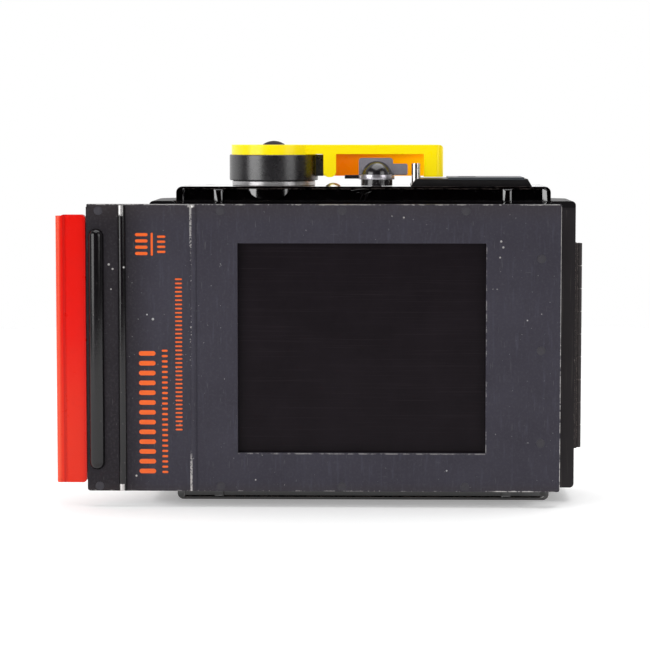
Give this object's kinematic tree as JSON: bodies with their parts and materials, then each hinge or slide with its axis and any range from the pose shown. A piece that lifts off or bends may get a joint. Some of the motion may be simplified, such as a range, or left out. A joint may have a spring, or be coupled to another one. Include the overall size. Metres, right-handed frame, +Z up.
{
  "type": "press camera roll film holder",
  "caption": "Lever-wind roll film holder for a slide-lock camera back, with a red-handled dark slide, a hinged rear shell and a yellow winding lever.",
  "frame": {"origin": "centre of the film window, in the plane of the front plate's face", "axes": "+X to the hinge end, +Y to the rear, +Z up to the winding lever; the front plate faces -Y"},
  "size_m": [0.1521, 0.0477, 0.1053],
  "materials": {
    "black_paint_matte": "satin black paint, rubbed bright at the edges",
    "black_paint_gloss": "gloss black paint on an aluminium casting",
    "black_casting": "satin black paint on an aluminium casting",
    "grey_enamel": "dark grey enamel",
    "slide_black": "black lacquer with fine horizontal brushing",
    "red_paint": "glossy red paint",
    "bright_steel": "bright turned steel",
    "chrome": "bright chrome",
    "dark_steel": "browned steel",
    "felt": "black felt",
    "leatherette": "black grained covering",
    "yellow_plastic": "smooth moulded yellow plastic",
    "black_plastic": "moulded black plastic",
    "drum_black": "satin black",
    "brass": "cut brass",
    "clear": "clear window",
    "dial_white": "white dial",
    "spring_steel": "spring wire"
  },
  "bodies": {
    "front_frame": {"front_plate": "black_paint_matte", "plate_rivets": "black_paint_matte", "slide_channel": "black_paint_matte", "gate_plate": "black_paint_matte", "film_rails": "bright_steel", "light_trap_felt": "felt", "light_trap_cover": "black_paint_matte", "trap_cover_screws": "dark_steel", "front_frame": "black_casting", "light_seal": "felt", "latch_keeper": "bright_steel", "hinge_leaf_front": "dark_steel", "hinge_pin": "dark_steel"},
    "dark_slide": {"dark_slide_sheet": "slide_black", "dark_slide_handle": "red_paint"},
    "rear_shell": {"shell_body": "black_casting", "back_panel": "leatherette", "top_cover": "black_paint_gloss", "bottom_cover": "black_paint_gloss", "cover_screws": "bright_steel", "hinge_leaf_rear": "dark_steel", "hub_washer": "chrome", "counter_housing": "black_plastic", "counter_plate": "grey_enamel", "counter_window": "clear", "stop_pin": "chrome", "gear_posts": "bright_steel", "chassis_top": "black_paint_matte", "chassis_bottom": "black_paint_matte", "chassis_bridge": "black_paint_matte", "latch_screws": "bright_steel", "return_spring": "spring_steel", "pressure_springs": "spring_steel", "supply_spring_top": "spring_steel", "supply_spring_bottom": "spring_steel", "takeup_spring": "spring_steel"},
    "winding_lever": {"winding_lever": "yellow_plastic", "lever_drum": "drum_black", "lever_screw": "black_paint_gloss", "winding_shaft": "bright_steel", "winding_gear": "brass"},
    "takeup_idler": {"takeup_idler": "brass"},
    "takeup": {"takeup_gear": "brass", "takeup_shaft": "bright_steel", "takeup_spool": "black_plastic"},
    "counter_idler_1": {"counter_idler_1": "brass"},
    "counter_idler_2": {"counter_idler_2": "brass"},
    "counter": {"counter_gear": "brass", "counter_dial": "dial_white"},
    "reset_lever": {"reset_lever": "black_paint_gloss"},
    "back_latch": {"latch_bar": "bright_steel"},
    "pressure_plate": {"pressure_plate": "slide_black", "pressure_guides": "bright_steel"},
    "guide_roller_left": {"guide_roller_left": "bright_steel"},
    "guide_roller_right": {"guide_roller_right": "bright_steel"},
    "supply_pin_top": {"supply_pin_top": "bright_steel"},
    "supply_pin_bottom": {"supply_pin_bottom": "bright_steel"},
    "takeup_pin": {"takeup_pin": "bright_steel"}
  },
  "joints": [
    {"name": "shell_hinge", "type": "hinge", "parent": "front_frame", "child": "rear_shell", "pos_m": [0.06315, 0.0158, 0], "axis": [0, 0, -1], "range_deg": [0, 115]},
    {"name": "dark_slide_pull", "type": "slide", "parent": "front_frame", "child": "dark_slide", "axis": [-1, 0, 0], "range_m": [0, 0.12]},
    {"name": "winding_lever_turn", "type": "hinge", "parent": "rear_shell", "child": "winding_lever", "pos_m": [-0.02645, 0.0312, 0.057], "axis": [0, 0, 1], "range_deg": [0, 180], "stiffness_Nm_per_rad": 0.01, "springref_deg": -22.92},
    {"name": "takeup_idler_turn", "type": "hinge", "parent": "rear_shell", "child": "takeup_idler", "pos_m": [-0.0409, 0.0241, 0.0425], "axis": [0, 0, 1], "range_deg": [-510.1, 0.1]},
    {"name": "takeup_turn", "type": "hinge", "parent": "rear_shell", "child": "takeup", "pos_m": [-0.0466, 0.0312, 0], "axis": [0, 0, 1], "range_deg": [-0.1, 437.24]},
    {"name": "counter_idler_1_turn", "type": "hinge", "parent": "rear_shell", "child": "counter_idler_1", "pos_m": [-0.00405, 0.0312, 0.043], "axis": [0, 0, 1], "range_deg": [-204.1, 0.1]},
    {"name": "counter_idler_2_turn", "type": "hinge", "parent": "rear_shell", "child": "counter_idler_2", "pos_m": [0.00925, 0.0312, 0.044], "axis": [0, 0, 1], "range_deg": [-0.1, 94.25]},
    {"name": "counter_turn", "type": "hinge", "parent": "rear_shell", "child": "counter", "pos_m": [0.02395, 0.0312, 0.0445], "axis": [0, 0, 1], "range_deg": [-29.52, 0.1]},
    {"name": "reset_lever_turn", "type": "hinge", "parent": "rear_shell", "child": "reset_lever", "pos_m": [0.0042, 0.0235, 0.048], "axis": [0, 0, 1], "range_deg": [0, 60]},
    {"name": "back_latch_slide", "type": "slide", "parent": "rear_shell", "child": "back_latch", "axis": [0, 0, -1], "range_m": [0, 0.003]},
    {"name": "pressure_plate_slide", "type": "slide", "parent": "rear_shell", "child": "pressure_plate", "axis": [0, 1, 0], "range_m": [0, 0.0012], "stiffness_N_per_m": 600, "springref_m": -0.001, "deforming": ["pressure_springs"]},
    {"name": "guide_roller_left_turn", "type": "hinge", "parent": "rear_shell", "child": "guide_roller_left", "pos_m": [-0.0382, 0.0086, 0], "axis": [0, 0, 1], "continuous": true},
    {"name": "guide_roller_right_turn", "type": "hinge", "parent": "rear_shell", "child": "guide_roller_right", "pos_m": [0.0382, 0.0086, 0], "axis": [0, 0, 1], "continuous": true},
    {"name": "supply_pin_top_pull", "type": "slide", "parent": "rear_shell", "child": "supply_pin_top", "axis": [0, 0, 1], "range_m": [0, 0.0024], "stiffness_N_per_m": 250, "springref_m": -0.002, "deforming": ["supply_spring_top"]},
    {"name": "supply_pin_bottom_pull", "type": "slide", "parent": "rear_shell", "child": "supply_pin_bottom", "axis": [0, 0, -1], "range_m": [0, 0.0024], "stiffness_N_per_m": 250, "springref_m": -0.002, "deforming": ["supply_spring_bottom"]},
    {"name": "takeup_pin_pull", "type": "slide", "parent": "rear_shell", "child": "takeup_pin", "axis": [0, 0, -1], "range_m": [0, 0.0024], "stiffness_N_per_m": 250, "springref_m": -0.002, "deforming": ["takeup_spring"]}
  ],
  "couplings": [
    {"joint": "takeup_idler_turn", "follows": "winding_lever_turn", "ratio": -2.8333},
    {"joint": "takeup_turn", "follows": "winding_lever_turn", "ratio": 2.4286},
    {"joint": "counter_idler_1_turn", "follows": "winding_lever_turn", "ratio": -1.1333},
    {"joint": "counter_idler_2_turn", "follows": "winding_lever_turn", "ratio": 0.52308},
    {"joint": "counter_turn", "follows": "winding_lever_turn", "ratio": -0.16346}
  ]
}
